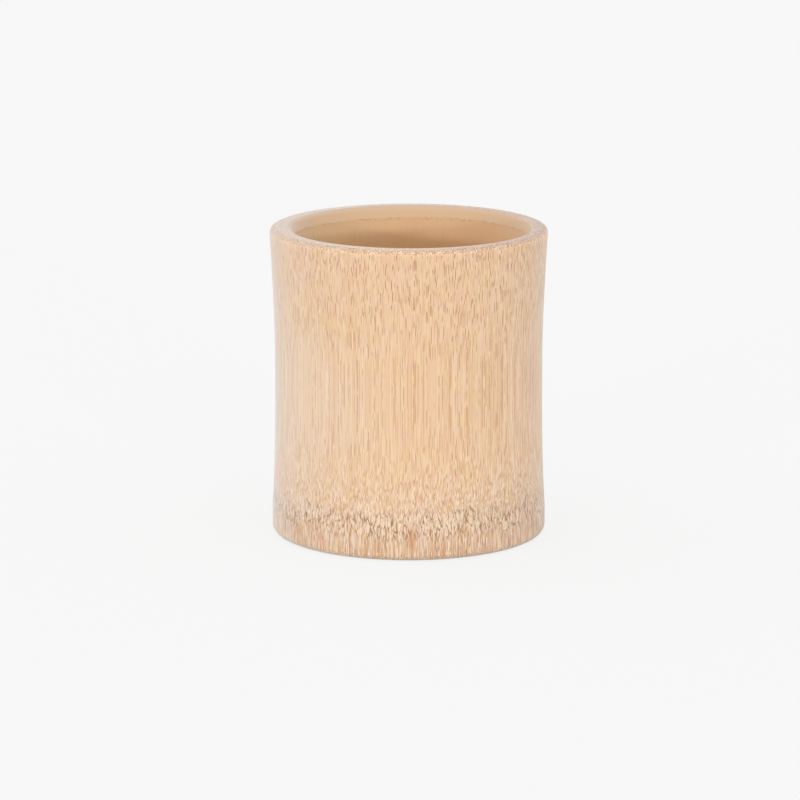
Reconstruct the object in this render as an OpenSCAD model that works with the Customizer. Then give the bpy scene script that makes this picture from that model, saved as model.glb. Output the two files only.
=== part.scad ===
// Drinking cup turned from one length of bamboo culm.
// A natural node near the foot closes the tube, and its diaphragm is the floor of the cup.
// The cup stands on the XY plane with the culm's axis on Z. Lengths are in millimetres.

/* [Culm wall] */
// Height from the table to the top of the lip
height = 89; // [60:1:140]
// Outer radius at the waist, the narrowest place
waist_r = 38.5; // [25:0.5:60]
// Thickness of the bare wall at the waist, without its lining
waist_wall = 4.1; // [3.2:0.1:7]
// Height of the waist above the table
waist_z = 53; // [30:1:56]
// How far the lip stands out past the waist
lip_flare = 1.5; // [0.2:0.1:6]
// Power of the curve from the waist to the lip, where 1 is a straight cone
lip_flare_power = 1.55; // [1.1:0.05:4]
// How far the foot stands out past the waist
foot_flare = 1; // [0.2:0.1:6]
// Power of the curve from the waist to the foot, where 1 is a straight cone
foot_flare_power = 3; // [1.1:0.05:4]
// Height of the straight band that is turned at the foot
foot_band_h = 7; // [3:0.5:20]

/* [Turned edges] */
// Radius of the lip's outer edge
lip_outer_round = 1.9; // [0.5:0.1:2.4]
// Radius of the lip's inner edge
lip_inner_round = 1.2; // [0.3:0.1:1.6]
// Radius of the foot's outer edge
foot_outer_round = 1.9; // [0.5:0.1:2.4]
// Radius of the foot's inner edge
foot_inner_round = 1; // [0.3:0.1:1.5]

/* [Pith lining] */
// How far the natural bore grew off the turned axis, towards +X
bore_shift = 0.7; // [0:0.1:1]
// Thickness of the papery lining inside the culm
skin_t = 0.6; // [0.3:0.1:1.5]
// Depth inside the mouth to which the lathe cut the lining away
lip_band_h = 3.2; // [2:0.1:12]
// Height above the table to which the lathe cut the lining away inside the foot
foot_band_inside_h = 2; // [1.6:0.1:3]

/* [Node diaphragm] */
// Height of the floor above the table, measured at its edge
floor_z = 11.5; // [10:0.5:25]
// Thickness of the diaphragm
diaphragm_t = 4; // [3:0.5:5.5]
// How far the middle of the diaphragm hangs below its edge
diaphragm_sag = 1.2; // [0:0.1:2]
// Radius of the flare where the floor grows into the wall
floor_flare_r = 4; // [1:0.5:10]
// Radius of the flare under the floor
foot_flare_r = 2; // [1:0.25:2.5]
// How deep the edge of the diaphragm is rooted in the wall
root_depth = 1; // [0.3:0.1:2]
// Height of the rooted edge
root_h = 2.4; // [1:0.1:2.8]

/* [Hidden] */
$fn = 144;

// Straight steps in each rounded edge or flare
round_steps = 10;
// Straight steps along each flank of the turned outline
flank_steps = 16;
// Straight steps across the sagging diaphragm
sag_steps = 12;
// How far a cut runs past the end of the wall
overrun = 1;

// Bare bore of the culm, and the inner face of the lining in it
bore_r = waist_r - waist_wall;
lined_r = bore_r - skin_t;

// Levels where the two stretches of lining begin and end
inner_skin_top_z = height - lip_band_h;
inner_skin_base_z = floor_z + floor_flare_r;
foot_skin_top_z = floor_z - diaphragm_t - foot_flare_r;

// The rooted edge lies in the middle of the diaphragm's edge
root_r = bore_r + root_depth;
root_top_z = floor_z - (diaphragm_t - root_h) / 2;
root_base_z = root_top_z - root_h;

// Turned radius of the outside at a height
function turned_r(z) =
    z > waist_z
        ? waist_r + lip_flare * pow((z - waist_z) / (height - waist_z), lip_flare_power)
    : z > foot_band_h
        ? waist_r + foot_flare * pow((waist_z - z) / (waist_z - foot_band_h), foot_flare_power)
    : waist_r + foot_flare;

// Heights spread evenly between two levels, without the last one
function levels(z0, z1, steps) = [for (i = [0:steps - 1]) z0 + (z1 - z0) * i / steps];

// Quarter circle about a centre, from one angle to another
function arc(x, z, r, from, to) =
    [for (i = [0:round_steps])
        let (a = from + (to - from) * i / round_steps)
        [x + r * cos(a), z + r * sin(a)]];

// The foot's outer edge rolls from the table up into the band
function foot_edge() =
    [for (p = arc(0, foot_outer_round, foot_outer_round, -90, 0))
        [turned_r(p[1]) - foot_outer_round + p[0], p[1]]];

// The lip's outer edge rolls from the flare over to the top
function lip_edge() =
    [for (p = arc(0, height - lip_outer_round, lip_outer_round, 0, 90))
        [turned_r(p[1]) - lip_outer_round + p[0], p[1]]];

// Both flanks, which meet at the waist
function flanks() =
    [for (z = concat(levels(foot_band_h, waist_z, flank_steps),
                     levels(waist_z, height - lip_outer_round, flank_steps)))
        [turned_r(z), z]];

// Outline of the turned blank, before the bore is taken away
function blank_outline() = concat([[0, 0]], foot_edge(), flanks(), lip_edge(), [[0, height]]);

// Outline of everything that is hollow in the wall: the two ends with their rounded edges,
// the natural bore, and the groove that the edge of the diaphragm is rooted in
function hollow_outline() = concat(
    [[0, -overrun], [bore_r + foot_inner_round, -overrun]],
    arc(bore_r + foot_inner_round, foot_inner_round, foot_inner_round, 270, 180),
    [[bore_r, root_base_z], [root_r, root_base_z], [root_r, root_top_z], [bore_r, root_top_z]],
    arc(bore_r + lip_inner_round, height - lip_inner_round, lip_inner_round, 180, 90),
    [[bore_r + lip_inner_round, height + overrun], [0, height + overrun]]);

// The same points in the other order
function reverse_points(points) = [for (i = [len(points) - 1:-1:0]) points[i]];

// Height of the sagging face at a radius, level at the middle and at the edge
function sagged_z(r, edge_r, edge_z) = edge_z - diaphragm_sag * (1 + cos(180 * r / edge_r)) / 2;

// One sagging face, from the middle outwards
function sagged_face(edge_r, edge_z) =
    [for (i = [0:sag_steps - 1])
        let (r = edge_r * i / sag_steps)
        [r, sagged_z(r, edge_r, edge_z)]];

// Outline of the diaphragm: floor, flare, shoulder under the lining, rooted edge, and the
// same again underneath
function diaphragm_outline() = concat(
    sagged_face(lined_r - floor_flare_r, floor_z),
    arc(lined_r - floor_flare_r, floor_z + floor_flare_r, floor_flare_r, -90, 0),
    [[bore_r, inner_skin_base_z], [bore_r, root_top_z], [root_r, root_top_z],
     [root_r, root_base_z], [bore_r, root_base_z], [bore_r, foot_skin_top_z]],
    arc(lined_r - foot_flare_r, foot_skin_top_z, foot_flare_r, 0, 90),
    reverse_points(sagged_face(lined_r - foot_flare_r, floor_z - diaphragm_t)));

// What follows the natural bore stands on the bore's own axis, beside the turned one
module on_bore_axis() {
    translate([bore_shift, 0, 0])
        children();
}

// A stretch of lining between two levels
module lining(base_z, top_z) {
    on_bore_axis()
        rotate_extrude()
            translate([lined_r, base_z])
                square([skin_t, top_z - base_z]);
}

// The turned wall: waisted outside, rounded at the lip and foot, with its natural bore
module culm_wall() {
    color("burlywood")
        difference() {
            rotate_extrude()
                polygon(blank_outline());
            on_bore_axis()
                rotate_extrude()
                    polygon(hollow_outline());
        }
}

// The lining of the drinking space, from the lip's turned band down to the floor's flare
module inner_skin() {
    color("tan")
        lining(inner_skin_base_z, inner_skin_top_z);
}

// The woody plate of the node, which is the floor and holds the drink
module node_diaphragm() {
    color("peru")
        on_bore_axis()
            rotate_extrude()
                polygon(diaphragm_outline());
}

// The short stretch of lining below the floor, inside the foot
module foot_skin() {
    color("tan")
        lining(foot_band_inside_h, foot_skin_top_z);
}

culm_wall();
inner_skin();
node_diaphragm();
foot_skin();
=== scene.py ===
# A drinking cup turned from one length of bamboo culm, standing on a pale studio floor.
# The pieces are dressed in the order in which the cup is made: the turned culm wall, the pith lining of its
# bore, the node's diaphragm that is its floor, and the lining under it. Everything is in metres.
import math

import bpy
import numpy as np
from mathutils import Matrix, Vector


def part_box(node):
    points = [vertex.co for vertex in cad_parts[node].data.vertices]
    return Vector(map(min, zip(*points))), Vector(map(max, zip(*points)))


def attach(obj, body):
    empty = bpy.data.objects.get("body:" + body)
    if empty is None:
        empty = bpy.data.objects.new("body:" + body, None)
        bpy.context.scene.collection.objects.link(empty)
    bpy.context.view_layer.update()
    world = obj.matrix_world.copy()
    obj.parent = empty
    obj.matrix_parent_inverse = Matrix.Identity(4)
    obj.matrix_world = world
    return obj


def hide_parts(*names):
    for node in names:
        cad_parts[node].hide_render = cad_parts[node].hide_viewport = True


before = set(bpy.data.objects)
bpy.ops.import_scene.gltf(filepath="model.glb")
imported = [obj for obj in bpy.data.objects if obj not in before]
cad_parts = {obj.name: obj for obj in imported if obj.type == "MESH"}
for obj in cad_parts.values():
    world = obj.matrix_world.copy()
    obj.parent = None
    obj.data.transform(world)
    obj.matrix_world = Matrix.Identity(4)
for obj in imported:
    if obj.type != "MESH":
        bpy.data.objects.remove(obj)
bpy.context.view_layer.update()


# Culm wall. The real piece is the woody tube of the culm, turned on a lathe to a waisted outline and sanded
# smooth, with a rounded lip and foot. Its bore is as it grew, a little off the turned axis and not round.
MM = 0.001
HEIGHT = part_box("culm_wall")[1].z
RIM_R = 40.0 * MM
WAIST_R = 38.5 * MM
WAIST_Z = 53.0 * MM
FOOT_R = 39.5 * MM
FOOT_BAND_H = 7.0 * MM
UPPER_POWER = 1.55
LOWER_POWER = 3
BORE_R = 34.4 * MM
BORE_SHIFT = 0.7 * MM
TRUE_BORE_DEPTH = 2.0 * MM
WOBBLE_FADE = 5.0 * MM
LIP_OUTER_ROUND = 1.9 * MM
LIP_INNER_ROUND = 1.2 * MM
LIP_CROWN = 0.12 * MM
FOOT_OUTER_ROUND = 1.9 * MM
FOOT_INNER_ROUND = 1.0 * MM
COLUMNS = 640
column_angles = np.linspace(0, 2 * np.pi, COLUMNS, endpoint=False)


def turned_r(z):
    """Outer radius at a height: the waist's, plus one power curve up to the lip and another down to the
    foot's straight band."""
    up = np.clip((z - WAIST_Z) / (HEIGHT - WAIST_Z), 0, 1) ** UPPER_POWER
    down = np.clip((WAIST_Z - z) / (WAIST_Z - FOOT_BAND_H), 0, 1) ** LOWER_POWER
    return WAIST_R + (RIM_R - WAIST_R) * up + (FOOT_R - WAIST_R) * down


# How far the grown bore stands off a true circle at every column: a sum of cosine waves round it, an oval, a
# faint triangle and two finer ones. Each has its number of waves, its size in millimetres and its phase.
BORE_WAVES = ((2, 0.16, -0.7), (3, 0.08, 1.9), (7, 0.04, 0.4), (13, 0.02, 2.6))
bore_wobble = MM * sum(size * np.cos(count * column_angles + phase) for count, size, phase in BORE_WAVES)


def wobble_share(z):
    """Share of the bore's wobble at a height: none in the turned band at the lip, and lower down all."""
    return np.clip((HEIGHT - z - TRUE_BORE_DEPTH) / WOBBLE_FADE, 0, 1)


def quarter(centre, radius, start, rows):
    """Radii and heights of a quarter circle: its centre, plus its radius turned on from a start angle."""
    turn = np.radians(np.linspace(start, start + 90, rows))
    return centre[0] + radius * np.cos(turn), centre[1] + radius * np.sin(turn)


def grid_piece(name, points, ring=True):
    """Makes a mesh from a grid of points: rows along the profile, columns round the axis.

    Columns always close on themselves. With ring, the last row joins the first and the piece is a closed
    ring. Without it, the first and last rows are single points on the axis, each with a fan of triangles.
    """
    rows, columns = points.shape[:2]
    here = np.arange(columns)
    there = (here + 1) % columns
    if ring:
        vertices = points.reshape(-1, 3)
        low = np.arange(rows)[:, None] * columns
        high = ((np.arange(rows) + 1) % rows)[:, None] * columns
        fans = np.zeros((0, 3), int)
    else:
        vertices = np.concatenate([points[:1, 0], points[1:-1].reshape(-1, 3), points[-1:, 0]])
        low = 1 + np.arange(rows - 3)[:, None] * columns
        high = low + columns
        last = 1 + (rows - 3) * columns
        start = np.stack([np.zeros(columns, int), 1 + there, 1 + here], -1)
        end = np.stack([last + here, last + there, np.full(columns, len(vertices) - 1)], -1)
        fans = np.concatenate([start, end])
    quads = np.stack([low + here, low + there, high + there, high + here], -1).reshape(-1, 4)
    mesh = bpy.data.meshes.new(name)
    mesh.vertices.add(len(vertices))
    mesh.vertices.foreach_set("co", vertices.ravel())
    mesh.loops.add(quads.size + fans.size)
    mesh.loops.foreach_set("vertex_index", np.concatenate([quads.ravel(), fans.ravel()]))
    mesh.polygons.add(len(quads) + len(fans))
    corners = np.concatenate([np.full(len(quads), 4), np.full(len(fans), 3)])
    mesh.polygons.foreach_set("loop_start", np.concatenate([[0], np.cumsum(corners)[:-1]]))
    mesh.polygons.foreach_set("loop_total", corners)
    mesh.update(calc_edges=True)
    mesh.validate()
    mesh.shade_smooth()
    piece = bpy.data.objects.new(name, mesh)
    bpy.context.scene.collection.objects.link(piece)
    return piece


def round_the_axis(radii, heights, shift):
    """Carries a profile round the axis: each row's radius is turned to every column's angle, moved along +X
    by the row's shift, and set at the row's height."""
    x = shift + radii * np.cos(column_angles)
    y = radii * np.sin(column_angles)
    return np.stack([x, y, np.broadcast_to(heights, x.shape)], -1)


# Rows of the wall's profile: round the foot's outer edge, up the side, over the lip's outer edge, its top
# and its inner edge, down the bore near the lip and below, round the foot's inner edge, and across its end
FOOT_ROWS, SIDE_ROWS, LIP_ROWS, TOP_ROWS, INNER_LIP_ROWS = 9, 66, 13, 9, 11
NEAR_ROWS, FAR_ROWS, INNER_FOOT_ROWS, CUT_END_ROWS = 16, 12, 7, 7
NEAR_DEPTH = 9.0 * MM
CROWN_ROWS = 5


def wall_points():
    """The wall's closed profile: up the outside, over the lip, down the bore and across the foot's cut end.

    Each part has its radii, its heights, its shift towards the bore's axis and its share of the bore's
    wobble. The lip is crowned by a parabola, which lowers its top towards both edges by up to LIP_CROWN.
    """
    foot_r, foot_z = quarter((FOOT_R - FOOT_OUTER_ROUND, FOOT_OUTER_ROUND), FOOT_OUTER_ROUND, -90, FOOT_ROWS)
    side_z = np.linspace(FOOT_OUTER_ROUND, HEIGHT - LIP_OUTER_ROUND, SIDE_ROWS)[1:-1]
    lip_out, lip_z = quarter((0, HEIGHT - LIP_OUTER_ROUND), LIP_OUTER_ROUND, 0, LIP_ROWS)
    lip_r = turned_r(lip_z) - LIP_OUTER_ROUND + lip_out
    top = np.linspace(0, 1, TOP_ROWS)[1:-1]
    top_r = lip_r[-1] + (BORE_R + LIP_INNER_ROUND - lip_r[-1]) * top
    edge_centre = (BORE_R + LIP_INNER_ROUND, HEIGHT - LIP_INNER_ROUND)
    edge_r, edge_z = quarter(edge_centre, LIP_INNER_ROUND, 90, INNER_LIP_ROWS)
    bore_z = np.concatenate([
        np.linspace(HEIGHT - LIP_INNER_ROUND, HEIGHT - NEAR_DEPTH, NEAR_ROWS)[1:],
        np.linspace(HEIGHT - NEAR_DEPTH, FOOT_INNER_ROUND, FAR_ROWS)[1:-1],
    ])
    under_centre = (BORE_R + FOOT_INNER_ROUND, FOOT_INNER_ROUND)
    under_r, under_z = quarter(under_centre, FOOT_INNER_ROUND, 180, INNER_FOOT_ROWS)
    base = np.linspace(0, 1, CUT_END_ROWS)[1:-1]
    base_r = under_r[-1] + (foot_r[0] - under_r[-1]) * base
    parts = (
        (foot_r, foot_z, 0, 0),
        (turned_r(side_z), side_z, 0, 0),
        (lip_r, lip_z, 0, 0),
        (top_r, HEIGHT, BORE_SHIFT * top, 0),
        (edge_r, edge_z, BORE_SHIFT, 0),
        (BORE_R, bore_z, BORE_SHIFT, wobble_share(bore_z)),
        (under_r, under_z, BORE_SHIFT, np.linspace(1, 0, INNER_FOOT_ROWS)),
        (base_r, 0, BORE_SHIFT * (1 - base), 0),
    )
    r, z, shift, share = np.concatenate([np.column_stack(np.broadcast_arrays(*part)) for part in parts]).T
    top_row = len(foot_z) + len(side_z) + len(lip_z)
    crowned = slice(top_row - CROWN_ROWS, top_row + len(top) + CROWN_ROWS)
    z[crowned] -= LIP_CROWN * np.linspace(-1, 1, len(z[crowned])) ** 2
    radii = r[:, None] + share[:, None] * bore_wobble
    return round_the_axis(radii, z[:, None], shift[:, None])


culm_wall = grid_piece("turned_culm_wall", wall_points())


def linear(hex_colour):
    """Turns an sRGB hex colour into linear red, green, blue and full alpha."""
    parts = [int(hex_colour[i:i + 2], 16) / 255 for i in (1, 3, 5)]
    return tuple(p / 12.92 if p <= 0.04045 else ((p + 0.055) / 1.055) ** 2.4 for p in parts) + (1.0,)


def empty_tree(owner):
    """Gives a material or the world an empty node tree."""
    owner.use_nodes = True
    owner.node_tree.nodes.clear()
    return owner.node_tree


def put(tree, kind, inputs=None, **settings):
    """Adds one node with its settings, and gives each named or numbered input its value or its link."""
    made = tree.nodes.new(kind)
    for name, value in settings.items():
        setattr(made, name, value)
    for key, value in (inputs or {}).items():
        if isinstance(value, bpy.types.NodeSocket):
            tree.links.new(value, made.inputs[key])
        else:
            made.inputs[key].default_value = value
    return made


# Where a colour mix takes its two colours, and where it gives the mixed one
FIRST, SECOND, MIXED = 6, 7, 2


def place_in_mm(tree):
    """Gives the place on the cup in millimetres: the object's own coordinates, scaled."""
    place = put(tree, "ShaderNodeTexCoord").outputs["Object"]
    return put(tree, "ShaderNodeVectorMath", {0: place, "Scale": 1 / MM}, operation="SCALE").outputs[0]


def curve_points(curve_node, points):
    """Sets a curve node's points, each a place along the input and the value there, and gives its output."""
    curve = curve_node.mapping.curves[0]
    while len(curve.points) < len(points):
        curve.points.new(0.5, 0.5)
    for point, (x, y) in zip(curve.points, points):
        point.location = (x, y)
        point.handle_type = "AUTO"
    curve_node.mapping.update()
    return curve_node.outputs[0]


# Real sizes of the wood's pattern, in millimetres. First how far apart things stand: the bundles, the fibres
# between them, the bands of growth, the node's islands, the breaks in its strokes, the patches of hue and the
# stains. Then how long the waves are, and how far they carry the zones and the fibres.
BUNDLE_SPACING = 0.34
FIBRE_SPACING = 0.18
GROWTH_SPACING = 1.11
ISLAND_SPACING = 0.68
BREAK_SPACING = 0.588
PATCH_SPACING = 4.17
STAIN_SPACING = 0.667
ZONE_WAVE, ZONE_RISE = 7.69, 7.0
WANDER_WAVE, WANDER_OUT, WANDER_ASIDE = 2.38, 0.9, 4.5
DIVE_WAVE, DIVE_DEPTH = 1.0, 0.22
LEAN_DEPTH = 4.0

# How these patterns are drawn out upright: the smaller the last number, the longer they are along the culm
WANDER_DRAW = (1, 1, 0.6)
DIVE_DRAW = (1, 1, 0.35)
ISLAND_DRAW = (1, 1, 0.19)
RUST_DRAW = (0.7, 0.1, 0.22)

# Places of this one culm, in millimetres from the middle of its foot: its paler side, the rusty streak low at
# the front and the pin pricks beside it. The stains read the cross section a little further off.
PALE_PLACE = (-30.0, -25.0, 41.0)
RUST_PLACE = (0.9, -39.5, 6.5)
PRICKS = ((-14.2, -36.9, 11.0), (-20.7, -33.6, 10.5))
STAIN_OFFSET = (17.0, 5.0, 0.0)

# Noise and random shades lie about a middle value. The tone follows them with a contrast, and a fibre's own
# shade counts by a share beside the bands. The node's scars make the tone paler and the bundles duller.
MIDDLE = 0.5
FIBRE_SHARE = 0.85
TONE_CONTRAST = 5.4
SCAR_PALENESS = 0.5
SCAR_DULLNESS = 0.6

# The lip's end grain starts to show at the first of these depths below the top, in millimetres, and shows
# most at the second. It has lost most of its nap.
LIP_FROM, LIP_TO = 1.3, 0.2
LIP_NAP_LOSS = 0.8

# Tints that multiply the ground low down, and the lip's end grain as painted shade off the front and painted
# reflection at the sides
LOW_TINT = (0.96, 1.0, 1.07, 1)
PAINTED_SHADE_TINT = (0.84, 0.87, 0.9, 1)
PAINTED_REFLECTION_TINT = (1.0, 1.05, 1.16, 1)


def turned_bamboo():
    """Bamboo cut across its fibre bundles by turning, then fine sanded under a thin satin coat.

    The bundles run nearly upright, and a cut end shows them as dark dots about a third of a millimetre
    apart. The pattern is that field of dots, read at the place in the cross section where the fibre that
    surfaces here would meet it. Where the outline runs along the fibres a dot draws out into a long line,
    where it slopes across them into a short dash, and on the lip and the cut foot it stays a dot. At the
    node the fibres wander, which scrambles them.
    """
    material = bpy.data.materials.new("bamboo_turned_and_sanded")
    tree = empty_tree(material)
    mm = place_in_mm(tree)
    flat = put(tree, "ShaderNodeVectorMath", {0: mm, 1: (1, 1, 0)}, operation="MULTIPLY").outputs[0]
    radius = put(tree, "ShaderNodeVectorMath", {0: flat}, operation="LENGTH").outputs["Value"]
    parts = put(tree, "ShaderNodeSeparateXYZ", {0: mm}).outputs
    side_x, side_y, height = parts["X"], parts["Y"], parts["Z"]
    off_middle = put(tree, "ShaderNodeMath", {0: side_x}, operation="ABSOLUTE").outputs[0]

    # The zones of the culm undulate a little round the cup. A level is a height in shares of the whole cup's
    swell = put(tree, "ShaderNodeTexNoise", {
        "Vector": flat, "Scale": 1 / ZONE_WAVE, "Detail": 2.0,
    }).outputs[0]
    raised = put(tree, "ShaderNodeMath", {
        0: swell, 1: ZONE_RISE, 2: -ZONE_RISE / 2,
    }, operation="MULTIPLY_ADD").outputs[0]
    zoned = put(tree, "ShaderNodeMath", {0: height, 1: raised}, operation="ADD").outputs[0]
    level = put(tree, "ShaderNodeMath", {0: zoned, 1: HEIGHT / MM}, operation="DIVIDE").outputs[0]

    # How deep under the bark the fibre that surfaces at a level lies, in shares of LEAN_DEPTH
    lean = curve_points(put(tree, "ShaderNodeFloatCurve", {"Value": level}), (
        (0, 0.56), (0.045, 0.50), (0.09, 0.445), (0.135, 0.365), (0.2, 0.225), (0.27, 0.12), (0.335, 0.06),
        (0.4, 0.03), (0.52, 0.0), (0.62, 0.005), (0.7, 0.025), (0.84, 0.045), (1, 0.06),
    ))
    # How much the fibres wander at a level
    stray = curve_points(put(tree, "ShaderNodeFloatCurve", {"Value": level}), (
        (0, 0.03), (0.05, 0.08), (0.085, 0.36), (0.13, 0.38), (0.2, 0.12), (0.27, 0.05), (0.4, 0.01),
        (0.7, 0.005), (1, 0.005),
    ))
    # How dark the bundles are at a level
    dashes = curve_points(put(tree, "ShaderNodeFloatCurve", {"Value": level}), (
        (0, 1.0), (0.06, 0.92), (0.09, 0.54), (0.15, 0.55), (0.2, 0.64), (0.27, 0.56), (0.34, 0.6),
        (0.5, 0.66), (0.65, 0.7), (0.8, 0.86), (0.93, 1.0), (1, 1.0),
    ))
    # How far the fibres between them differ
    shades = curve_points(put(tree, "ShaderNodeFloatCurve", {"Value": level}), (
        (0, 0.97), (0.06, 0.93), (0.09, 0.5), (0.15, 0.35), (0.2, 0.33), (0.27, 0.19), (0.5, 0.15),
        (0.65, 0.14), (0.8, 0.12), (1, 0.12),
    ))
    # Where the node's scars lie
    scarred = curve_points(put(tree, "ShaderNodeFloatCurve", {"Value": level}), (
        (0, 0.1), (0.05, 0.2), (0.08, 0.75), (0.12, 0.95), (0.16, 0.32), (0.2, 0.08), (0.26, 0.03), (0.32, 0),
        (0.5, 0), (1, 0),
    ))
    # How strong the bands of growth and the stains are
    wide = curve_points(put(tree, "ShaderNodeFloatCurve", {"Value": level}), (
        (0, 0.7), (0.06, 0.65), (0.09, 0.25), (0.14, 0.12), (0.35, 0.05), (1, 0.05),
    ))

    # The fibres wander in slow waves, a little longer upright than across
    slow = put(tree, "ShaderNodeVectorMath", {0: mm, 1: WANDER_DRAW}, operation="MULTIPLY").outputs[0]
    waves = put(tree, "ShaderNodeTexNoise", {
        "Vector": slow, "Scale": 1 / WANDER_WAVE, "Detail": 1.5, "Roughness": 0.5,
    }).outputs["Color"]
    centred = put(tree, "ShaderNodeVectorMath", {
        0: waves, 1: (MIDDLE, MIDDLE, MIDDLE),
    }, operation="SUBTRACT").outputs[0]
    wander = put(tree, "ShaderNodeVectorMath", {0: centred, "Scale": stray}, operation="SCALE").outputs[0]
    wander = put(tree, "ShaderNodeSeparateXYZ", {0: wander}).outputs

    # Outwards goes the lean and a little of the wander
    outwards = put(tree, "ShaderNodeMath", {0: lean, 1: LEAN_DEPTH}, operation="MULTIPLY").outputs[0]
    outwards = put(tree, "ShaderNodeMath", {
        0: wander["Y"], 1: WANDER_OUT, 2: outwards,
    }, operation="MULTIPLY_ADD").outputs[0]
    # Each fibre also dives and rises a little on its own, so the dashes differ in length
    dive = put(tree, "ShaderNodeVectorMath", {0: mm, 1: DIVE_DRAW}, operation="MULTIPLY").outputs[0]
    dive = put(tree, "ShaderNodeTexNoise", {"Vector": dive, "Scale": 1 / DIVE_WAVE, "Detail": 0.0}).outputs[0]
    dive = put(tree, "ShaderNodeMath", {0: dive, 1: MIDDLE}, operation="SUBTRACT").outputs[0]
    outwards = put(tree, "ShaderNodeMath", {
        0: dive, 1: DIVE_DEPTH, 2: outwards,
    }, operation="MULTIPLY_ADD").outputs[0]
    grown = put(tree, "ShaderNodeMath", {0: outwards, 1: radius}, operation="DIVIDE").outputs[0]
    grown = put(tree, "ShaderNodeMath", {0: grown, 1: 1.0}, operation="ADD").outputs[0]
    spread = put(tree, "ShaderNodeVectorMath", {0: flat, "Scale": grown}, operation="SCALE").outputs[0]
    # Round the cup goes the rest of the wander
    sideways = put(tree, "ShaderNodeMath", {0: wander["X"], 1: WANDER_ASIDE}, operation="MULTIPLY").outputs[0]
    turned = put(tree, "ShaderNodeMath", {0: sideways, 1: radius}, operation="DIVIDE").outputs[0]
    tangent = put(tree, "ShaderNodeVectorMath", {0: (0, 0, 1), 1: flat}, operation="CROSS_PRODUCT").outputs[0]
    aside = put(tree, "ShaderNodeVectorMath", {0: tangent, "Scale": turned}, operation="SCALE").outputs[0]
    section = put(tree, "ShaderNodeVectorMath", {0: spread, 1: aside}, operation="ADD").outputs[0]

    # The bundles are dots in the cross section. On the lip the fibres are cut across, so each shows its end
    # more strongly, and towards the right these ends have torn wider
    lip = put(tree, "ShaderNodeMapRange", {
        "Value": height, "From Min": HEIGHT / MM - LIP_FROM, "From Max": HEIGHT / MM - LIP_TO, "To Max": 0.8,
    }).outputs[0]
    bundles = put(tree, "ShaderNodeTexVoronoi", {
        "Vector": section, "Scale": 1 / BUNDLE_SPACING, "Randomness": 0.9,
    }, voronoi_dimensions="2D").outputs
    widened = put(tree, "ShaderNodeMapRange", {
        "Value": side_x, "From Min": -6.0, "From Max": 24.0, "To Max": -0.11,
    }).outputs[0]
    reach = put(tree, "ShaderNodeMath", {
        0: lip, 1: widened, 2: bundles["Distance"],
    }, operation="MULTIPLY_ADD").outputs[0]
    dot = put(tree, "ShaderNodeMapRange", {
        "Value": reach, "From Min": 0.16, "From Max": 0.26, "To Min": 1.0, "To Max": 0.0,
    }, interpolation_type="SMOOTHSTEP").outputs[0]
    each = put(tree, "ShaderNodeSeparateColor", {0: bundles["Color"]}).outputs
    vigour = put(tree, "ShaderNodeMapRange", {
        "Value": each[0], "From Min": 0.1, "From Max": 0.85, "To Min": 0.1, "To Max": 1.0,
    }).outputs[0]
    shown = put(tree, "ShaderNodeMath", {0: dot, 1: vigour}, operation="MULTIPLY").outputs[0]
    # They fade out towards the bore, and towards the right the sanding has bared them more
    outer = put(tree, "ShaderNodeMapRange", {
        "Value": radius, "From Min": 35.2, "From Max": 37.4,
    }, interpolation_type="SMOOTHSTEP").outputs[0]
    bared = put(tree, "ShaderNodeMapRange", {
        "Value": side_x, "From Min": -10.0, "From Max": 36.0, "To Min": 1.0, "To Max": 1.4,
    }).outputs[0]
    force = put(tree, "ShaderNodeMath", {0: outer, 1: dashes}, operation="MULTIPLY").outputs[0]
    force = put(tree, "ShaderNodeMath", {0: force, 1: bared}, operation="MULTIPLY").outputs[0]
    dark = put(tree, "ShaderNodeMath", {0: shown, 1: force}, operation="MULTIPLY").outputs[0]

    # Between them stand finer fibres, each with a shade of its own, and wider bands of growth
    fibres = put(tree, "ShaderNodeTexVoronoi", {
        "Vector": section, "Scale": 1 / FIBRE_SPACING,
    }, voronoi_dimensions="2D").outputs["Color"]
    shade = put(tree, "ShaderNodeSeparateColor", {0: fibres}).outputs[0]
    bands = put(tree, "ShaderNodeTexNoise", {
        "Vector": section, "Scale": 1 / GROWTH_SPACING, "Detail": 1.0,
    }, noise_dimensions="2D").outputs[0]
    banded = put(tree, "ShaderNodeMath", {0: bands, 1: MIDDLE}, operation="SUBTRACT").outputs[0]
    banded = put(tree, "ShaderNodeMath", {0: banded, 1: wide}, operation="MULTIPLY").outputs[0]
    varied = put(tree, "ShaderNodeMath", {0: shade, 1: MIDDLE}, operation="SUBTRACT").outputs[0]
    varied = put(tree, "ShaderNodeMath", {
        0: varied, 1: FIBRE_SHARE, 2: banded,
    }, operation="MULTIPLY_ADD").outputs[0]
    varied = put(tree, "ShaderNodeMath", {0: varied, 1: shades}, operation="MULTIPLY").outputs[0]
    # On the lip their cut ends differ far more, most of all towards the right
    grit = put(tree, "ShaderNodeMapRange", {
        "Value": side_x, "From Min": -34.0, "From Max": 20.0, "To Min": 4.0, "To Max": 22.0,
    }).outputs[0]
    ends = put(tree, "ShaderNodeMath", {0: lip, 1: grit, 2: 1.0}, operation="MULTIPLY_ADD").outputs[0]
    varied = put(tree, "ShaderNodeMath", {0: varied, 1: ends}, operation="MULTIPLY").outputs[0]
    varied = put(tree, "ShaderNodeMath", {0: varied, 1: outer}, operation="MULTIPLY").outputs[0]
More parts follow.
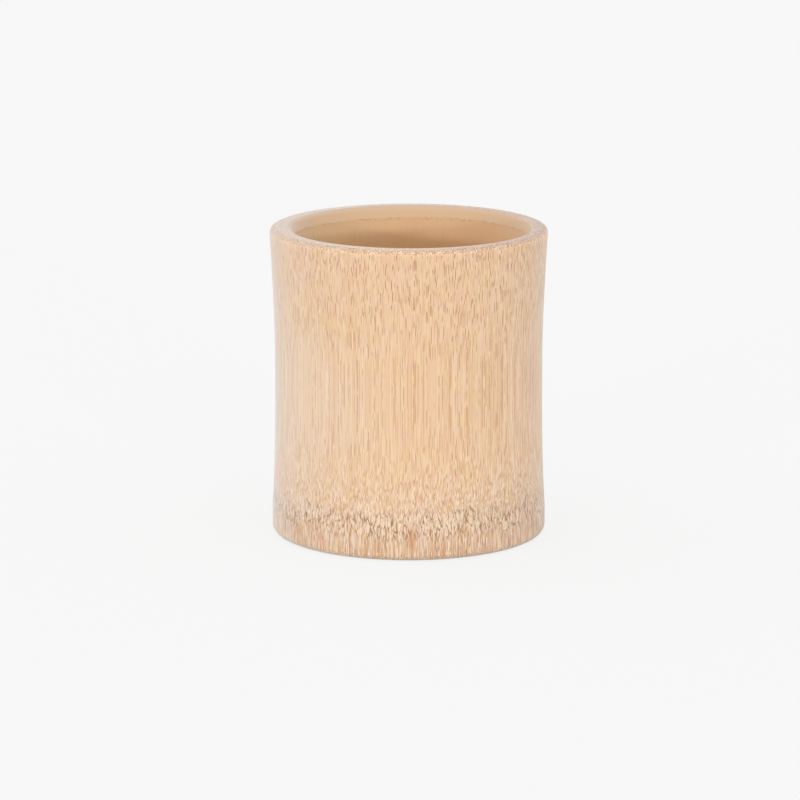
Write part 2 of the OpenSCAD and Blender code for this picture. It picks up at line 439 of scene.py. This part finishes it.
    # The flanks were sanded less than the front and the back, and differ more from fibre to fibre
    rougher = put(tree, "ShaderNodeMapRange", {
        "Value": off_middle, "From Min": 14.0, "From Max": 34.0, "To Min": 1.0, "To Max": 1.5,
    }).outputs[0]
    varied = put(tree, "ShaderNodeMath", {0: varied, 1: rougher}, operation="MULTIPLY").outputs[0]
    tone = put(tree, "ShaderNodeMath", {
        0: varied, 1: TONE_CONTRAST, 2: MIDDLE,
    }, operation="MULTIPLY_ADD").outputs[0]
    tone = put(tree, "ShaderNodeMath", {
        0: scarred, 1: SCAR_PALENESS, 2: tone,
    }, operation="MULTIPLY_ADD").outputs[0]

    # At the node the bundles branch and join. That leaves a broken net of dark strokes round pale islands
    drawn = put(tree, "ShaderNodeVectorMath", {0: mm, 1: ISLAND_DRAW}, operation="MULTIPLY").outputs[0]
    net = put(tree, "ShaderNodeTexVoronoi", {
        "Vector": drawn, "Scale": 1 / ISLAND_SPACING,
    }, feature="DISTANCE_TO_EDGE").outputs["Distance"]
    stroke = put(tree, "ShaderNodeMapRange", {
        "Value": net, "From Min": 0.02, "From Max": 0.15, "To Min": 1.0, "To Max": 0.0,
    }).outputs[0]
    gaps = put(tree, "ShaderNodeTexNoise", {
        "Vector": drawn, "Scale": 1 / BREAK_SPACING, "Detail": 1.0,
    }).outputs[0]
    broken = put(tree, "ShaderNodeMapRange", {"Value": gaps, "From Min": 0.62, "From Max": 0.46}).outputs[0]
    scar = put(tree, "ShaderNodeMath", {0: stroke, 1: broken}, operation="MULTIPLY").outputs[0]
    scar = put(tree, "ShaderNodeMath", {0: scar, 1: scarred}, operation="MULTIPLY").outputs[0]
    scar = put(tree, "ShaderNodeMath", {0: scar, 1: outer}, operation="MULTIPLY").outputs[0]
    marked = put(tree, "ShaderNodeMath", {0: dark, 1: scar}, operation="MAXIMUM").outputs[0]

    # The ground drifts between a yellower and a pinker shade, has brown stains, and is greyer low down
    patch = put(tree, "ShaderNodeTexNoise", {
        "Vector": mm, "Scale": 1 / PATCH_SPACING, "Detail": 2.0, "Roughness": 0.6,
    }).outputs[0]
    pink = put(tree, "ShaderNodeMapRange", {"Value": patch, "From Min": 0.4, "From Max": 0.62}).outputs[0]
    yellow_ground = put(tree, "ShaderNodeMix", {
        0: tone, FIRST: linear("#E3B37D"), SECOND: linear("#F8DDB9"),
    }, data_type="RGBA").outputs[MIXED]
    pink_ground = put(tree, "ShaderNodeMix", {
        0: tone, FIRST: linear("#E4B082"), SECOND: linear("#F8DBBE"),
    }, data_type="RGBA").outputs[MIXED]
    ground = put(tree, "ShaderNodeMix", {
        0: pink, FIRST: yellow_ground, SECOND: pink_ground,
    }, data_type="RGBA").outputs[MIXED]
    elsewhere = put(tree, "ShaderNodeVectorMath", {0: section, 1: STAIN_OFFSET}, operation="ADD").outputs[0]
    stained = put(tree, "ShaderNodeTexNoise", {
        "Vector": elsewhere, "Scale": 1 / STAIN_SPACING, "Detail": 1.0,
    }, noise_dimensions="2D").outputs[0]
    stained = put(tree, "ShaderNodeMapRange", {
        "Value": stained, "From Min": 0.48, "From Max": 0.66, "To Max": 0.6,
    }).outputs[0]
    stained = put(tree, "ShaderNodeMath", {0: stained, 1: wide}, operation="MULTIPLY").outputs[0]
    ground = put(tree, "ShaderNodeMix", {
        0: stained, FIRST: ground, SECOND: linear("#BE8862"),
    }, data_type="RGBA").outputs[MIXED]
    old = put(tree, "ShaderNodeMapRange", {"Value": level, "From Min": 0.3, "From Max": 0.12}).outputs[0]
    ground = put(tree, "ShaderNodeMix", {
        0: old, FIRST: ground, SECOND: LOW_TINT,
    }, data_type="RGBA", blend_type="MULTIPLY").outputs[MIXED]

    # The left front of this culm is paler, out to 30 mm round its place
    side = put(tree, "ShaderNodeVectorMath", {0: mm, 1: PALE_PLACE}, operation="DISTANCE").outputs["Value"]
    pale = put(tree, "ShaderNodeMapRange", {
        "Value": side, "From Min": 10.0, "From Max": 30.0, "To Min": 0.27, "To Max": 0.0,
    }, interpolation_type="SMOOTHSTEP").outputs[0]
    ground = put(tree, "ShaderNodeMix", {
        0: pale, FIRST: ground, SECOND: linear("#F0DCC8"),
    }, data_type="RGBA").outputs[MIXED]

    # The wood at the bore is smoother and browner
    inner_wood = put(tree, "ShaderNodeMath", {0: 1.0, 1: outer}, operation="SUBTRACT").outputs[0]
    ground = put(tree, "ShaderNodeMix", {
        0: inner_wood, FIRST: ground, SECOND: linear("#E0C09B"),
    }, data_type="RGBA").outputs[MIXED]

    # The lip's end grain is greyer. Away from the front it is darkened as painted shade, and at both sides
    # tinted bluer as a painted reflection
    end_grain = put(tree, "ShaderNodeMix", {
        0: tone, FIRST: linear("#A88974"), SECOND: linear("#F4D2B6"),
    }, data_type="RGBA").outputs[MIXED]
    # Painted shade: the lip's end grain grows darker from the front towards the back
    painted_shade_share = put(tree, "ShaderNodeMapRange", {
        "Value": side_y, "From Min": -38.0, "From Max": -26.0,
    }).outputs[0]
    end_grain = put(tree, "ShaderNodeMix", {
        0: painted_shade_share, FIRST: end_grain, SECOND: PAINTED_SHADE_TINT,
    }, data_type="RGBA", blend_type="MULTIPLY").outputs[MIXED]
    # Painted reflection: the lip's end grain is tinted bluer towards both sides, where it is seen at a
    # grazing angle
    painted_reflection_share = put(tree, "ShaderNodeMapRange", {
        "Value": off_middle, "From Min": 26.0, "From Max": 38.0,
    }).outputs[0]
    end_grain = put(tree, "ShaderNodeMix", {
        0: painted_reflection_share, FIRST: end_grain, SECOND: PAINTED_REFLECTION_TINT,
    }, data_type="RGBA", blend_type="MULTIPLY").outputs[MIXED]
    ground = put(tree, "ShaderNodeMix", {
        0: lip, FIRST: ground, SECOND: end_grain,
    }, data_type="RGBA").outputs[MIXED]

    # The bundles are brown, each a little different, and duller in the node's scars and on the lip
    bark = put(tree, "ShaderNodeMix", {
        0: each[1], FIRST: linear("#A4602F"), SECOND: linear("#AE5D3C"),
    }, data_type="RGBA").outputs[MIXED]
    aged = put(tree, "ShaderNodeMath", {0: scarred, 1: SCAR_DULLNESS}, operation="MULTIPLY").outputs[0]
    bark = put(tree, "ShaderNodeMix", {
        0: aged, FIRST: bark, SECOND: linear("#906A42"),
    }, data_type="RGBA").outputs[MIXED]
    bark = put(tree, "ShaderNodeMix", {
        0: lip, FIRST: bark, SECOND: linear("#8A6650"),
    }, data_type="RGBA").outputs[MIXED]
    surface = put(tree, "ShaderNodeMix", {
        0: marked, FIRST: ground, SECOND: bark,
    }, data_type="RGBA").outputs[MIXED]

    # Marks of this one culm: a rusty streak low at the front, and two pin pricks beside it
    streak = put(tree, "ShaderNodeVectorMath", {0: mm, 1: RUST_PLACE}, operation="SUBTRACT").outputs[0]
    streak = put(tree, "ShaderNodeVectorMath", {0: streak, 1: RUST_DRAW}, operation="MULTIPLY").outputs[0]
    streak = put(tree, "ShaderNodeVectorMath", {0: streak}, operation="LENGTH").outputs["Value"]
    rust = put(tree, "ShaderNodeMapRange", {
        "Value": streak, "From Min": 0.6, "From Max": 1.2, "To Min": 0.6, "To Max": 0.0,
    }).outputs[0]
    rust = put(tree, "ShaderNodeMath", {0: rust, 1: shade}, operation="MULTIPLY").outputs[0]
    surface = put(tree, "ShaderNodeMix", {
        0: rust, FIRST: surface, SECOND: linear("#CF8748"),
    }, data_type="RGBA").outputs[MIXED]
    for prick in PRICKS:
        away = put(tree, "ShaderNodeVectorMath", {0: mm, 1: prick}, operation="DISTANCE").outputs["Value"]
        hole = put(tree, "ShaderNodeMapRange", {
            "Value": away, "From Min": 0.15, "From Max": 0.3, "To Min": 1.0, "To Max": 0.0,
        }).outputs[0]
        surface = put(tree, "ShaderNodeMix", {
            0: hole, FIRST: surface, SECOND: linear("#4A3324"),
        }, data_type="RGBA").outputs[MIXED]

    # The bundles lie a hair below the sanded wood
    relief = put(tree, "ShaderNodeMath", {0: marked, 1: -1.0}, operation="MULTIPLY").outputs[0]
    bump = put(tree, "ShaderNodeBump", {"Strength": 0.12, "Distance": 0.03 * MM, "Height": relief}).outputs[0]
    # The sanding left a fine nap, worn thinner towards the right, and little on the lip
    nap = put(tree, "ShaderNodeMapRange", {
        "Value": side_x, "From Min": -10.0, "From Max": 36.0, "To Min": 1.0, "To Max": 0.6,
    }).outputs[0]
    left = put(tree, "ShaderNodeMath", {0: lip, 1: -LIP_NAP_LOSS, 2: 1}, operation="MULTIPLY_ADD").outputs[0]
    nap = put(tree, "ShaderNodeMath", {0: nap, 1: left}, operation="MULTIPLY").outputs[0]
    shader = put(tree, "ShaderNodeBsdfPrincipled", {
        "Base Color": surface, "Roughness": 0.55, "IOR": 1.47, "Sheen Weight": nap, "Sheen Roughness": 0.5,
        "Normal": bump,
    }).outputs[0]
    put(tree, "ShaderNodeOutputMaterial", {"Surface": shader})
    return material


culm_wall.data.materials.append(turned_bamboo())
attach(culm_wall, "root")
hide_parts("culm_wall")


# Pith lining of the bore. The real piece is the thin, tan and naturally smooth skin that lines a culm. It
# runs from the ragged edge that the lathe tore in it, a few millimetres under the lip, down to the floor.
lining_low, lining_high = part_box("inner_skin")
LINING_T = 0.6 * MM
LINING_EDGE_T = 0.03 * MM
LINING_TAPER = 7.0 * MM
FLUTE_DEPTH = 0.008 * MM
TEAR_DEPTH = 0.14 * MM
TEAR_SWING = 0.5
LEAST_TEAR = 0.02 * MM
CHIPS = 80
CHIP_WIDTHS_MM = (0.12, 0.5)
CHIP_BITES_MM = (0.05, 0.25)
LINING_SEED = 11

# Waves round the bore, in the torn edge and in the lining's face: fewest, most, and how fast they weaken
TEAR_WAVES = (3, 260, 0.7)
FLUTE_WAVES = (40, 150, 0.5)

# Rows of the lining as shares of its height, counted down from the torn edge. On the inner face two rows lie
# close together there, so the edge stays crisp, and the rows are fine down the first tenth.
OUTER_SHARES = np.linspace(1, 0, 6)
INNER_SHARES = np.concatenate([[0, 0.0004], np.linspace(0.003, 0.1, 25), np.linspace(0.1, 1, 50)[1:]])


def slow_waves(lowest, highest, fall, random):
    """A wavy line round the bore: cosines of whole numbers of waves, at random phases, each with a height of
    its number to the power of minus the fall. The sum is scaled to a mean square of one."""
    waves = np.arange(lowest, highest)
    size = waves ** -fall
    phase = random.uniform(0, 2 * np.pi, len(waves))
    line = (size[:, None] * np.cos(waves[:, None] * column_angles + phase[:, None])).sum(0)
    return line / np.sqrt((size ** 2).sum() / 2)


def torn_edge(random):
    """Depth of a torn edge at every column: a fine wavy line, with chips bitten out of it. A chip's depth is
    its bite times e to the power of minus the fourth power of the way from its middle over its width."""
    depth = TEAR_DEPTH * (1 + TEAR_SWING * slow_waves(*TEAR_WAVES, random))
    for _ in range(CHIPS):
        middle = random.uniform(-np.pi, np.pi)
        width = random.uniform(*CHIP_WIDTHS_MM) * MM / BORE_R
        bite = random.uniform(*CHIP_BITES_MM) * MM
        off = (column_angles - middle + np.pi) % (2 * np.pi) - np.pi
        depth = depth + bite * np.exp(-(off / width) ** 4)
    return np.maximum(depth, LEAST_TEAR)


def grown_bore(z):
    """Radius of the bore at a height, at every column: its circle, plus the wobble's share there."""
    return BORE_R + wobble_share(z) * bore_wobble


def lining_points(random):
    """The lining's closed profile at every column: up its outer face, over the torn edge and down inside.

    Below the edge its thickness grows along a smooth step, three times the square less twice the cube of the
    share of the taper that lies above.
    """
    top = lining_high.z - torn_edge(random)
    outer_z = top - OUTER_SHARES[:, None] * (top - lining_low.z)
    inner_z = top - INNER_SHARES[:, None] * (top - lining_low.z)
    covered = np.clip((top - inner_z) / LINING_TAPER, 0, 1)
    thick = LINING_EDGE_T + (LINING_T - LINING_EDGE_T) * covered * covered * (3 - 2 * covered)
    flutes = FLUTE_DEPTH * slow_waves(*FLUTE_WAVES, random) * covered
    radii = np.concatenate([grown_bore(outer_z), grown_bore(inner_z) - thick + flutes])
    heights = np.concatenate([outer_z, inner_z])
    return round_the_axis(radii, heights, BORE_SHIFT), top - heights


def torn_piece(name, points, edge_depth):
    """Makes a piece whose points also carry how many millimetres they lie from its torn edge."""
    piece = grid_piece(name, points)
    below_edge = piece.data.attributes.new("below_edge", "FLOAT", "POINT")
    below_edge.data.foreach_set("value", (edge_depth / MM).ravel().astype(np.float32))
    return piece


pith_lining = torn_piece("pith_lining", *lining_points(np.random.default_rng(LINING_SEED)))

# Real sizes of the skin's pattern, in millimetres: how wide its streaks are, which are drawn out upright, and
# how far apart its slow blotches and its flecks stand. The flecks show with a part of their full strength.
STREAK_WIDTH = 0.909
STREAK_DRAW = (1, 1, 0.07)
BLOTCH_SPACING = 11.1
FLECK_SPACING = 0.714
FLECK_STRENGTH = 0.4


def pith_skin():
    """The waxy inner skin of a culm: tan, smooth and slightly glossy, with faint upright streaks, slow
    blotches and dark flecks where it is torn at the edge."""
    material = bpy.data.materials.new("bamboo_pith_skin_as_grown")
    tree = empty_tree(material)
    mm = place_in_mm(tree)
    drawn = put(tree, "ShaderNodeVectorMath", {0: mm, 1: STREAK_DRAW}, operation="MULTIPLY").outputs[0]
    streaks = put(tree, "ShaderNodeTexNoise", {
        "Vector": drawn, "Scale": 1 / STREAK_WIDTH, "Detail": 3.0,
    }).outputs[0]
    blotches = put(tree, "ShaderNodeTexNoise", {
        "Vector": mm, "Scale": 1 / BLOTCH_SPACING, "Detail": 2.0,
    }).outputs[0]
    flecks = put(tree, "ShaderNodeTexNoise", {
        "Vector": mm, "Scale": 1 / FLECK_SPACING, "Detail": 1.0,
    }).outputs[0]
    skin = put(tree, "ShaderNodeMix", {
        0: blotches, FIRST: linear("#D7AE7D"), SECOND: linear("#DFB486"),
    }, data_type="RGBA").outputs[MIXED]
    streak = put(tree, "ShaderNodeMapRange", {
        "Value": streaks, "From Min": 0.4, "From Max": 0.75, "To Max": 0.07,
    }).outputs[0]
    skin = put(tree, "ShaderNodeMix", {
        0: streak, FIRST: skin, SECOND: linear("#B98F68"),
    }, data_type="RGBA").outputs[MIXED]
    # Near its torn edge the skin is thin, and the paler wood shows through
    below = put(tree, "ShaderNodeAttribute", attribute_name="below_edge").outputs["Fac"]
    thin = put(tree, "ShaderNodeMapRange", {
        "Value": below, "From Min": 0.0, "From Max": 5.0, "To Min": 0.7, "To Max": 0.0,
    }).outputs[0]
    skin = put(tree, "ShaderNodeMix", {
        0: thin, FIRST: skin, SECOND: linear("#DEB98F"),
    }, data_type="RGBA").outputs[MIXED]
    # Towards the left the lining is a little greener
    side_x = put(tree, "ShaderNodeSeparateXYZ", {0: mm}).outputs["X"]
    greener = put(tree, "ShaderNodeMapRange", {
        "Value": side_x, "From Min": -6.0, "From Max": -28.0, "To Max": 0.4,
    }).outputs[0]
    skin = put(tree, "ShaderNodeMix", {
        0: greener, FIRST: skin, SECOND: linear("#D4BB91"),
    }, data_type="RGBA").outputs[MIXED]
    # The last millimetre below the edge has dark flecks
    near = put(tree, "ShaderNodeMapRange", {
        "Value": below, "From Min": 0.15, "From Max": 1.1, "To Min": 1.0, "To Max": 0.0,
    }).outputs[0]
    dark = put(tree, "ShaderNodeMapRange", {"Value": flecks, "From Min": 0.54, "From Max": 0.66}).outputs[0]
    fleck = put(tree, "ShaderNodeMath", {0: near, 1: dark}, operation="MULTIPLY").outputs[0]
    fleck = put(tree, "ShaderNodeMath", {0: fleck, 1: FLECK_STRENGTH}, operation="MULTIPLY").outputs[0]
    skin = put(tree, "ShaderNodeMix", {
        0: fleck, FIRST: skin, SECOND: linear("#A27C52"),
    }, data_type="RGBA").outputs[MIXED]
    bump = put(tree, "ShaderNodeBump", {
        "Strength": 0.06, "Distance": 0.05 * MM, "Height": streaks,
    }).outputs[0]
    shader = put(tree, "ShaderNodeBsdfPrincipled", {
        "Base Color": skin, "Roughness": 0.48, "IOR": 1.47, "Sheen Weight": 0.55, "Sheen Roughness": 0.5,
        "Normal": bump,
    }).outputs[0]
    put(tree, "ShaderNodeOutputMaterial", {"Surface": shader})
    return material


pith_lining.data.materials.append(pith_skin())
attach(pith_lining, "root")
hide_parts("inner_skin")


# Node diaphragm. The real piece is the woody plate that the plant grew across the culm at its node. It is the
# cup's floor, left as it grew: slightly dished, a little wrinkled, and flared into the wall above and below.
plate_low, plate_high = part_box("node_diaphragm")
FLOOR_FLARE_R = 4.0 * MM
FOOT_FLARE_R = 2.0 * MM
PLATE_SAG = 1.2 * MM
LINED_R = BORE_R - LINING_T
FLOOR_Z = plate_high.z - FLOOR_FLARE_R
UNDER_Z = plate_low.z + FOOT_FLARE_R
ROOT_R = plate_high.x - BORE_SHIFT
ROOT_H = 2.4 * MM
FACE_ROWS, FLARE_ROWS, FOOT_FLARE_ROWS, UNDER_FACE_ROWS = 64, 14, 10, 44
PLATE_SEED = 23

# The plate is true in the middle, and from this radius on it takes up the bore's wobble
TRUE_PLATE_R = 20.0 * MM
PLATE_WOBBLE_FADE = 12.0 * MM

# The plate's relief: the length, the height and the number of its lumps, folds and fine wrinkles. The lengths
# differ by a factor between two limits, and all of it fades out over a few millimetres at the wall.
RELIEF = ((21 * MM, 0.16 * MM, 6), (8 * MM, 0.06 * MM, 12), (2.6 * MM, 0.018 * MM, 30))
LENGTH_FACTORS = (0.8, 1.25)
RELIEF_FADE = 5.0 * MM


def wrinkles(radii, random):
    """Grown relief of the plate: a sum of cosine waves straight across it, each in a random direction."""
    x, y = radii * np.cos(column_angles), radii * np.sin(column_angles)
    relief = np.zeros_like(x)
    for length, size, count in RELIEF:
        for _ in range(count):
            way, phase = random.uniform(0, 2 * np.pi, 2)
            span = length * random.uniform(*LENGTH_FACTORS)
            along = x * np.cos(way) + y * np.sin(way)
            relief += size / math.sqrt(count) * np.cos(2 * np.pi * along / span + phase)
    return relief * np.clip((LINED_R - radii) / RELIEF_FADE, 0, 1)


def sagged(r, edge_r, edge_z):
    """Height of a sagging face: lowest in the middle, and rising to its edge by half a cosine wave."""
    return edge_z - PLATE_SAG * (1 + np.cos(np.pi * r / edge_r)) / 2


def plate_points(random):
    """The plate's profile at every column: from the middle of the floor out and up its flare, down its rooted
    edge, and back in across the underside."""
    floor_edge = LINED_R - FLOOR_FLARE_R
    under_edge = LINED_R - FOOT_FLARE_R
    face_r = floor_edge * np.linspace(0, 1, FACE_ROWS)[:-1]
    flare_r, flare_z = quarter((floor_edge, plate_high.z), FLOOR_FLARE_R, -90, FLARE_ROWS)
    foot_flare_r, foot_flare_z = quarter((under_edge, plate_low.z), FOOT_FLARE_R, 0, FOOT_FLARE_ROWS)
    under_r = under_edge * np.linspace(1, 0, UNDER_FACE_ROWS)[1:]
    root_z = (FLOOR_Z + UNDER_Z + ROOT_H) / 2
    root = np.array([
        (BORE_R, plate_high.z), (BORE_R, root_z), (ROOT_R, root_z),
        (ROOT_R, root_z - ROOT_H), (BORE_R, root_z - ROOT_H), (BORE_R, plate_low.z),
    ])
    r = np.concatenate([face_r, flare_r, root[:, 0], foot_flare_r, under_r])
    z = np.concatenate([
        sagged(face_r, floor_edge, FLOOR_Z), flare_z, root[:, 1], foot_flare_z,
        sagged(under_r, under_edge, UNDER_Z),
    ])
    radii = np.repeat(r[:, None], COLUMNS, 1)
    share = np.clip((radii - TRUE_PLATE_R) / PLATE_WOBBLE_FADE, 0, 1) * (radii <= BORE_R)
    radii = radii + share * bore_wobble
    radii[0] = radii[-1] = 0
    heights = np.repeat(z[:, None], COLUMNS, 1)
    for face in (slice(0, len(face_r) + len(flare_r)), slice(-len(under_r), None)):
        heights[face] += wrinkles(radii[face], random)
    heights[0], heights[-1] = heights[0, 0], heights[-1, 0]
    return round_the_axis(radii, heights, BORE_SHIFT)[::-1]


plate_grid = plate_points(np.random.default_rng(PLATE_SEED))
node_plate = grid_piece("node_diaphragm_floor", plate_grid, ring=False)

# Real sizes of the grown face's pattern, in millimetres: how far apart its clouds and its grains of pith are
CLOUD_SPACING = 6.25
PITH_SPACING = 0.625


def diaphragm_wood():
    """The plate's grown face: matt and tan like the lining, clouded and browner towards the middle, with a
    fine darker grain of pith that stands in low relief."""
    material = bpy.data.materials.new("bamboo_diaphragm_as_grown")
    tree = empty_tree(material)
    mm = place_in_mm(tree)
    flat = put(tree, "ShaderNodeVectorMath", {0: mm, 1: (1, 1, 0)}, operation="MULTIPLY").outputs[0]
    radius = put(tree, "ShaderNodeVectorMath", {0: flat}, operation="LENGTH").outputs["Value"]
    clouds = put(tree, "ShaderNodeTexNoise", {
        "Vector": mm, "Scale": 1 / CLOUD_SPACING, "Detail": 4.0, "Roughness": 0.6,
    }).outputs[0]
    pith = put(tree, "ShaderNodeTexNoise", {
        "Vector": mm, "Scale": 1 / PITH_SPACING, "Detail": 3.0, "Roughness": 0.6,
    }).outputs[0]
    face = put(tree, "ShaderNodeMix", {
        0: clouds, FIRST: linear("#B98E62"), SECOND: linear("#D8B085"),
    }, data_type="RGBA").outputs[MIXED]
    brown = put(tree, "ShaderNodeMapRange", {
        "Value": radius, "From Min": 6.0, "From Max": 30.0, "To Min": 0.45, "To Max": 0.0,
    }).outputs[0]
    face = put(tree, "ShaderNodeMix", {
        0: brown, FIRST: face, SECOND: linear("#A67A50"),
    }, data_type="RGBA").outputs[MIXED]
    grain = put(tree, "ShaderNodeMapRange", {
        "Value": pith, "From Min": 0.45, "From Max": 0.75, "To Max": 0.35,
    }).outputs[0]
    face = put(tree, "ShaderNodeMix", {
        0: grain, FIRST: face, SECOND: linear("#8E6843"),
    }, data_type="RGBA").outputs[MIXED]
    bump = put(tree, "ShaderNodeBump", {"Strength": 0.4, "Distance": 0.08 * MM, "Height": pith}).outputs[0]
    shader = put(tree, "ShaderNodeBsdfPrincipled", {
        "Base Color": face, "Roughness": 0.6, "IOR": 1.47, "Normal": bump,
    }).outputs[0]
    put(tree, "ShaderNodeOutputMaterial", {"Surface": shader})
    return material


node_plate.data.materials.append(diaphragm_wood())
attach(node_plate, "root")
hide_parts("node_diaphragm")


# Lining of the foot. The real piece is the same pith skin below the node, a short ring inside the foot that
# the lathe cut back from the edge on which the cup stands.
ring_low, ring_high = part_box("foot_skin")
RING_TAPER = 1.2 * MM
RING_TEAR_SHARE = 0.4
RING_ROWS = 10
RING_SEED = 31


def foot_ring_points(random):
    """The ring's closed profile at every column: up its outer face, then down its inner face to a torn lower
    edge, where it thins out in a straight taper."""
    base = ring_low.z + RING_TEAR_SHARE * torn_edge(random)
    outer_z = base + np.linspace(0, 1, RING_ROWS)[:, None] * (ring_high.z - base)
    inner_z = outer_z[::-1]
    covered = np.clip((inner_z - base) / RING_TAPER, 0, 1)
    inner_r = grown_bore(inner_z) - LINING_EDGE_T - (LINING_T - LINING_EDGE_T) * covered
    heights = np.concatenate([outer_z, inner_z])
    return round_the_axis(np.concatenate([grown_bore(outer_z), inner_r]), heights, BORE_SHIFT), heights - base


foot_lining = torn_piece("foot_lining", *foot_ring_points(np.random.default_rng(RING_SEED)))
foot_lining.data.materials.append(pith_lining.data.materials[0])
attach(foot_lining, "root")
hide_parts("foot_skin")


# Floor and backdrop. One pale sheet that reads as the white of a studio sweep and takes the cup's soft
# shadow. It shows nearly white, but lights the cup only as grey paper would.
FLOOR_REACH = 4
FLOOR_GAP = 0.2 * MM
FLOOR_GLOW = 0.814
PAPER_GREY = (0.4, 0.4, 0.4, 1)
SHADED_GREY = (0.12, 0.12, 0.12, 1)
WHITE = (1, 1, 1, 1)


def seen_rays(tree):
    """Gives one on the rays that show a surface, from the camera or by a reflection or through a clear body,
    and nought on the rays that only carry its light."""
    ray = put(tree, "ShaderNodeLightPath").outputs
    seen = put(tree, "ShaderNodeMath", {
        0: ray["Is Camera Ray"], 1: ray["Is Glossy Ray"],
    }, operation="MAXIMUM").outputs[0]
    return put(tree, "ShaderNodeMath", {
        0: seen, 1: ray["Is Transmission Ray"],
    }, operation="MAXIMUM").outputs[0]


floor_mesh = bpy.data.meshes.new("studio_floor")
corner_signs = ((-1, -1), (1, -1), (1, 1), (-1, 1))
floor_corners = [(FLOOR_REACH * x, FLOOR_REACH * y, -FLOOR_GAP) for x, y in corner_signs]
floor_mesh.from_pydata(floor_corners, [], [(0, 1, 2, 3)])
floor = bpy.data.objects.new("studio_floor", floor_mesh)
bpy.context.scene.collection.objects.link(floor)
floor_material = bpy.data.materials.new("white_paper_sweep")
floor_tree = empty_tree(floor_material)
paper = put(floor_tree, "ShaderNodeBsdfDiffuse", {"Color": PAPER_GREY}).outputs[0]
shaded = put(floor_tree, "ShaderNodeBsdfDiffuse", {"Color": SHADED_GREY}).outputs[0]
glow = put(floor_tree, "ShaderNodeEmission", {"Color": WHITE, "Strength": FLOOR_GLOW}).outputs[0]
lit = put(floor_tree, "ShaderNodeAddShader", {0: shaded, 1: glow}).outputs[0]
sweep = put(floor_tree, "ShaderNodeMixShader", {0: seen_rays(floor_tree), 1: paper, 2: lit}).outputs[0]
put(floor_tree, "ShaderNodeOutputMaterial", {"Surface": sweep})
floor.data.materials.append(floor_material)


# Light. A white surround gives most of it: dimmer overhead, a little brighter at both sides, most of all on
# the left, and stronger from the right front and the left back than from the other two corners. Two distant
# soft lamps stand low beside the camera, so the near lip throws a soft shadow on the far wall inside.
SURROUND = 1.37
SURROUND_BY_X = -0.13
SURROUND_BY_X_SQUARED = 0.1
SURROUND_BY_X_TIMES_Y = -0.35
SURROUND_BY_Z = -0.62
BACKDROP = 0.93

world = bpy.data.worlds.new("white_studio")
bpy.context.scene.world = world
world_tree = empty_tree(world)
outwards = put(world_tree, "ShaderNodeTexCoord").outputs["Generated"]
way = put(world_tree, "ShaderNodeSeparateXYZ", {0: outwards}).outputs
squared = put(world_tree, "ShaderNodeMath", {0: way["X"], 1: 2.0}, operation="POWER").outputs[0]
diagonal = put(world_tree, "ShaderNodeMath", {0: way["X"], 1: way["Y"]}, operation="MULTIPLY").outputs[0]
strength = SURROUND
for term, weight in (
    (squared, SURROUND_BY_X_SQUARED),
    (way["X"], SURROUND_BY_X),
    (diagonal, SURROUND_BY_X_TIMES_Y),
    (way["Z"], SURROUND_BY_Z),
):
    strength = put(world_tree, "ShaderNodeMath", {
        0: term, 1: weight, 2: strength,
    }, operation="MULTIPLY_ADD").outputs[0]
around = put(world_tree, "ShaderNodeBackground", {"Color": WHITE, "Strength": strength}).outputs[0]
backdrop = put(world_tree, "ShaderNodeBackground", {"Color": WHITE, "Strength": BACKDROP}).outputs[0]
mixed = put(world_tree, "ShaderNodeMixShader", {0: seen_rays(world_tree), 1: around, 2: backdrop}).outputs[0]
put(world_tree, "ShaderNodeOutputWorld", {"Surface": mixed})

for name, azimuth, elevation, width, energy in (
    ("left_lamp", -30, 8.3, 2.4, 0.43),
    ("right_lamp", 22, 6.2, 2.4, 0.42),
):
    lamp = bpy.data.lights.new(name, "SUN")
    lamp.angle = math.radians(width)
    lamp.energy = energy
    lamp_object = bpy.data.objects.new(name, lamp)
    bpy.context.scene.collection.objects.link(lamp_object)
    bearing, rise = math.radians(azimuth), math.radians(elevation)
    level = math.cos(rise)
    towards = Vector((math.sin(bearing) * level, -math.cos(bearing) * level, math.sin(rise)))
    lamp_object.rotation_euler = towards.to_track_quat("Z", "Y").to_euler()


# Camera. A long lens a little above the cup, at the photograph's angle and 1.2 m away. It is turned so that
# the cup's middle falls on the same pixel as in the photograph.
EYE_DISTANCE = 1.205
EYE_ELEVATION = math.radians(12.10)
PIXELS = 800
FOCAL_PX = 4175.0
AIM_PX = (408.70, 377.91)
SENSOR = 36.0
yaw = math.atan((AIM_PX[0] - PIXELS / 2) / FOCAL_PX)
tilt = EYE_ELEVATION - math.atan((AIM_PX[1] - PIXELS / 2) / FOCAL_PX)
level_right = np.array([1.0, 0, 0])
level_view = np.array([0, math.cos(tilt), -math.sin(tilt)])
upward = np.cross(level_right, level_view)
forward = math.cos(yaw) * level_view - math.sin(yaw) * level_right
rightward = math.cos(yaw) * level_right + math.sin(yaw) * level_view
camera = bpy.data.objects.new("camera", bpy.data.cameras.new("camera"))
camera.data.sensor_width = SENSOR
camera.data.lens = FOCAL_PX * SENSOR / PIXELS
turn = Matrix([rightward, upward, -forward]).transposed().to_4x4()
eye = (0, -EYE_DISTANCE * math.cos(EYE_ELEVATION), HEIGHT / 2 + EYE_DISTANCE * math.sin(EYE_ELEVATION))
camera.matrix_world = Matrix.Translation(eye) @ turn
bpy.context.scene.collection.objects.link(camera)
bpy.context.scene.camera = camera

bpy.context.scene.view_settings.view_transform = "Standard"
